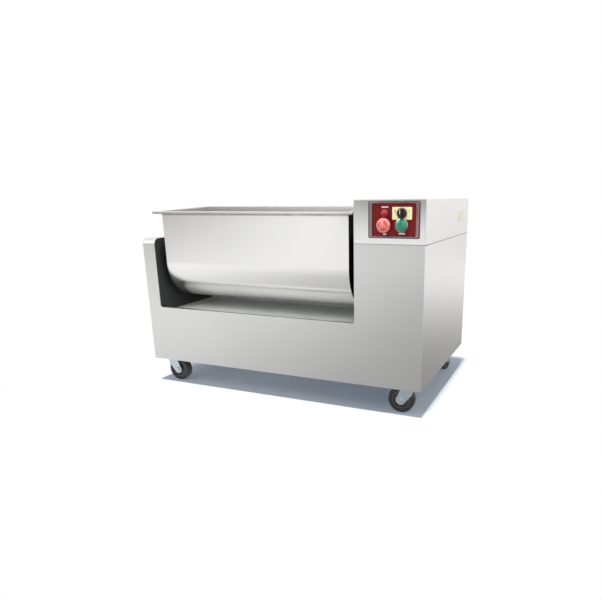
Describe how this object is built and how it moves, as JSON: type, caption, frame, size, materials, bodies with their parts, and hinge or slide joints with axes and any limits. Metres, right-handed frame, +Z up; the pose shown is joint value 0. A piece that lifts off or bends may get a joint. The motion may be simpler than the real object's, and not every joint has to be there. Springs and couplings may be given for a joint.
{
  "type": "stuffing mixer",
  "caption": "Stainless stuffing mixer: a tipping trough with a belt-driven paddle shaft in a cabinet on swivel casters, with a control box at one end.",
  "frame": {"origin": "centre of the footprint of the bounding box, on the floor", "axes": "+X to the control box end, +Z up, front with the controls and the pouring lip facing -Y"},
  "size_m": [1.241, 0.767, 0.766],
  "materials": {
    "brushed_stainless": "brushed",
    "satin_stainless": "satin",
    "trough_stainless": "satin",
    "polished_stainless": "polished",
    "frame_steel": "mill",
    "zinc": "zinc plated",
    "turned_steel": "turned",
    "bearing_iron": "painted casting",
    "pulley_iron": "machined casting",
    "drive_paint": "gloss paint",
    "fan_cover_paint": "gloss paint",
    "belt_rubber": "fabric-faced rubber",
    "bezel_metal": "satin",
    "panel_red": "satin",
    "legend_yellow": "satin",
    "collar_metal": "satin",
    "lamp_red": "translucent",
    "switch_plastic": "moulded",
    "plate_aluminium": "etched",
    "black_plastic": "moulded",
    "seal_plastic": "machined",
    "stop_red": "moulded",
    "start_green": "moulded",
    "wheel_plastic": "moulded",
    "tyre_rubber": "moulded"
  },
  "bodies": {
    "cabinet": {"base_frame": "frame_steel", "caster_plates": "zinc", "caster_bolts": "zinc", "motor_rails": "frame_steel", "front_panel": "brushed_stainless", "left_side_panel": "brushed_stainless", "left_inner_wall": "satin_stainless", "left_top_cap": "brushed_stainless", "right_inner_wall": "satin_stainless", "right_side_panel": "brushed_stainless", "rear_panel": "brushed_stainless", "rear_deck": "brushed_stainless", "well_liner": "satin_stainless", "bearing_plates": "frame_steel", "bearing_units": "bearing_iron", "bearing_bolts": "zinc", "gear_case": "drive_paint", "motor": "drive_paint", "motor_foot": "drive_paint", "motor_fan_cover": "fan_cover_paint", "terminal_box": "drive_paint", "v_belts": "belt_rubber", "control_box_cover": "brushed_stainless", "control_box_front": "brushed_stainless", "control_box_rear": "brushed_stainless", "panel_bezel": "bezel_metal", "panel_plate": "panel_red", "legend_plate": "legend_yellow", "control_collars": "collar_metal", "lamp_lens": "lamp_red", "contact_blocks": "switch_plastic", "contactor": "switch_plastic", "side_plate": "plate_aluminium", "cable_gland": "black_plastic", "panel_screws": "zinc"},
    "trough": {"tank_shell": "trough_stainless", "tank_rim": "trough_stainless", "trunnions": "turned_steel", "tilt_quadrant": "turned_steel", "shaft_seals": "seal_plastic"},
    "mixer": {"mixer_shaft": "polished_stainless", "mixer_paddles": "polished_stainless", "driven_pulley": "pulley_iron"},
    "drive": {"drive_pulley": "pulley_iron"},
    "stop": {"stop_button": "stop_red"},
    "start": {"start_button": "start_green"},
    "selector": {"selector_knob": "black_plastic"},
    "clamp": {"clamp_knob": "black_plastic"},
    "caster_fl": {"caster_fork_fl": "zinc"},
    "wheel_fl": {"wheel_core_fl": "wheel_plastic", "tyre_fl": "tyre_rubber"},
    "caster_fr": {"caster_fork_fr": "zinc"},
    "wheel_fr": {"wheel_core_fr": "wheel_plastic", "tyre_fr": "tyre_rubber"},
    "caster_rl": {"caster_fork_rl": "zinc"},
    "wheel_rl": {"wheel_core_rl": "wheel_plastic", "tyre_rl": "tyre_rubber"},
    "caster_rr": {"caster_fork_rr": "zinc"},
    "wheel_rr": {"wheel_core_rr": "wheel_plastic", "tyre_rr": "tyre_rubber"}
  },
  "joints": [
    {"name": "trough_tip", "type": "hinge", "parent": "cabinet", "child": "trough", "pos_m": [-0.078, -0.1665, 0.521], "axis": [1, 0, 0], "range_deg": [0, 90]},
    {"name": "mixer_spin", "type": "hinge", "parent": "cabinet", "child": "mixer", "pos_m": [-0.078, -0.1665, 0.521], "axis": [1, 0, 0], "continuous": true},
    {"name": "drive_spin", "type": "hinge", "parent": "cabinet", "child": "drive", "pos_m": [0.4295, 0.18, 0.3], "axis": [1, 0, 0], "continuous": true},
    {"name": "stop_press", "type": "slide", "parent": "cabinet", "child": "stop", "axis": [0, 1, 0], "range_m": [0, 0.004], "stiffness_N_per_m": 900, "springref_m": -0.002},
    {"name": "start_press", "type": "slide", "parent": "cabinet", "child": "start", "axis": [0, 1, 0], "range_m": [0, 0.004], "stiffness_N_per_m": 600, "springref_m": -0.002},
    {"name": "selector_turn", "type": "hinge", "parent": "cabinet", "child": "selector", "pos_m": [0.5385, -0.3525, 0.722], "axis": [0, -1, 0], "range_deg": [-45, 45]},
    {"name": "clamp_turn", "type": "hinge", "parent": "cabinet", "child": "clamp", "pos_m": [-0.5805, -0.1665, 0.445], "axis": [1, 0, 0], "range_deg": [0, 270]},
    {"name": "swivel_fl", "type": "hinge", "parent": "cabinet", "child": "caster_fl", "pos_m": [-0.5235, -0.2955, 0.11], "axis": [0, 0, 1], "continuous": true},
    {"name": "roll_fl", "type": "hinge", "parent": "caster_fl", "child": "wheel_fl", "pos_m": [-0.4935, -0.2955, 0.05], "axis": [0, 1, 0], "continuous": true},
    {"name": "swivel_fr", "type": "hinge", "parent": "cabinet", "child": "caster_fr", "pos_m": [0.5625, -0.2955, 0.11], "axis": [0, 0, 1], "continuous": true},
    {"name": "roll_fr", "type": "hinge", "parent": "caster_fr", "child": "wheel_fr", "pos_m": [0.5325, -0.2955, 0.05], "axis": [0, -1, 0], "continuous": true},
    {"name": "swivel_rl", "type": "hinge", "parent": "cabinet", "child": "caster_rl", "pos_m": [-0.5235, 0.3005, 0.11], "axis": [0, 0, 1], "continuous": true},
    {"name": "roll_rl", "type": "hinge", "parent": "caster_rl", "child": "wheel_rl", "pos_m": [-0.55169, 0.29024, 0.05], "axis": [0.342, -0.9397, 0], "continuous": true},
    {"name": "swivel_rr", "type": "hinge", "parent": "cabinet", "child": "caster_rr", "pos_m": [0.5625, 0.3005, 0.11], "axis": [0, 0, 1], "continuous": true},
    {"name": "roll_rr", "type": "hinge", "parent": "caster_rr", "child": "wheel_rr", "pos_m": [0.55989, 0.27061, 0.05], "axis": [0.9962, -0.0872, 0], "continuous": true}
  ],
  "couplings": [
    {"joint": "drive_spin", "follows": "mixer_spin", "ratio": 2}
  ]
}
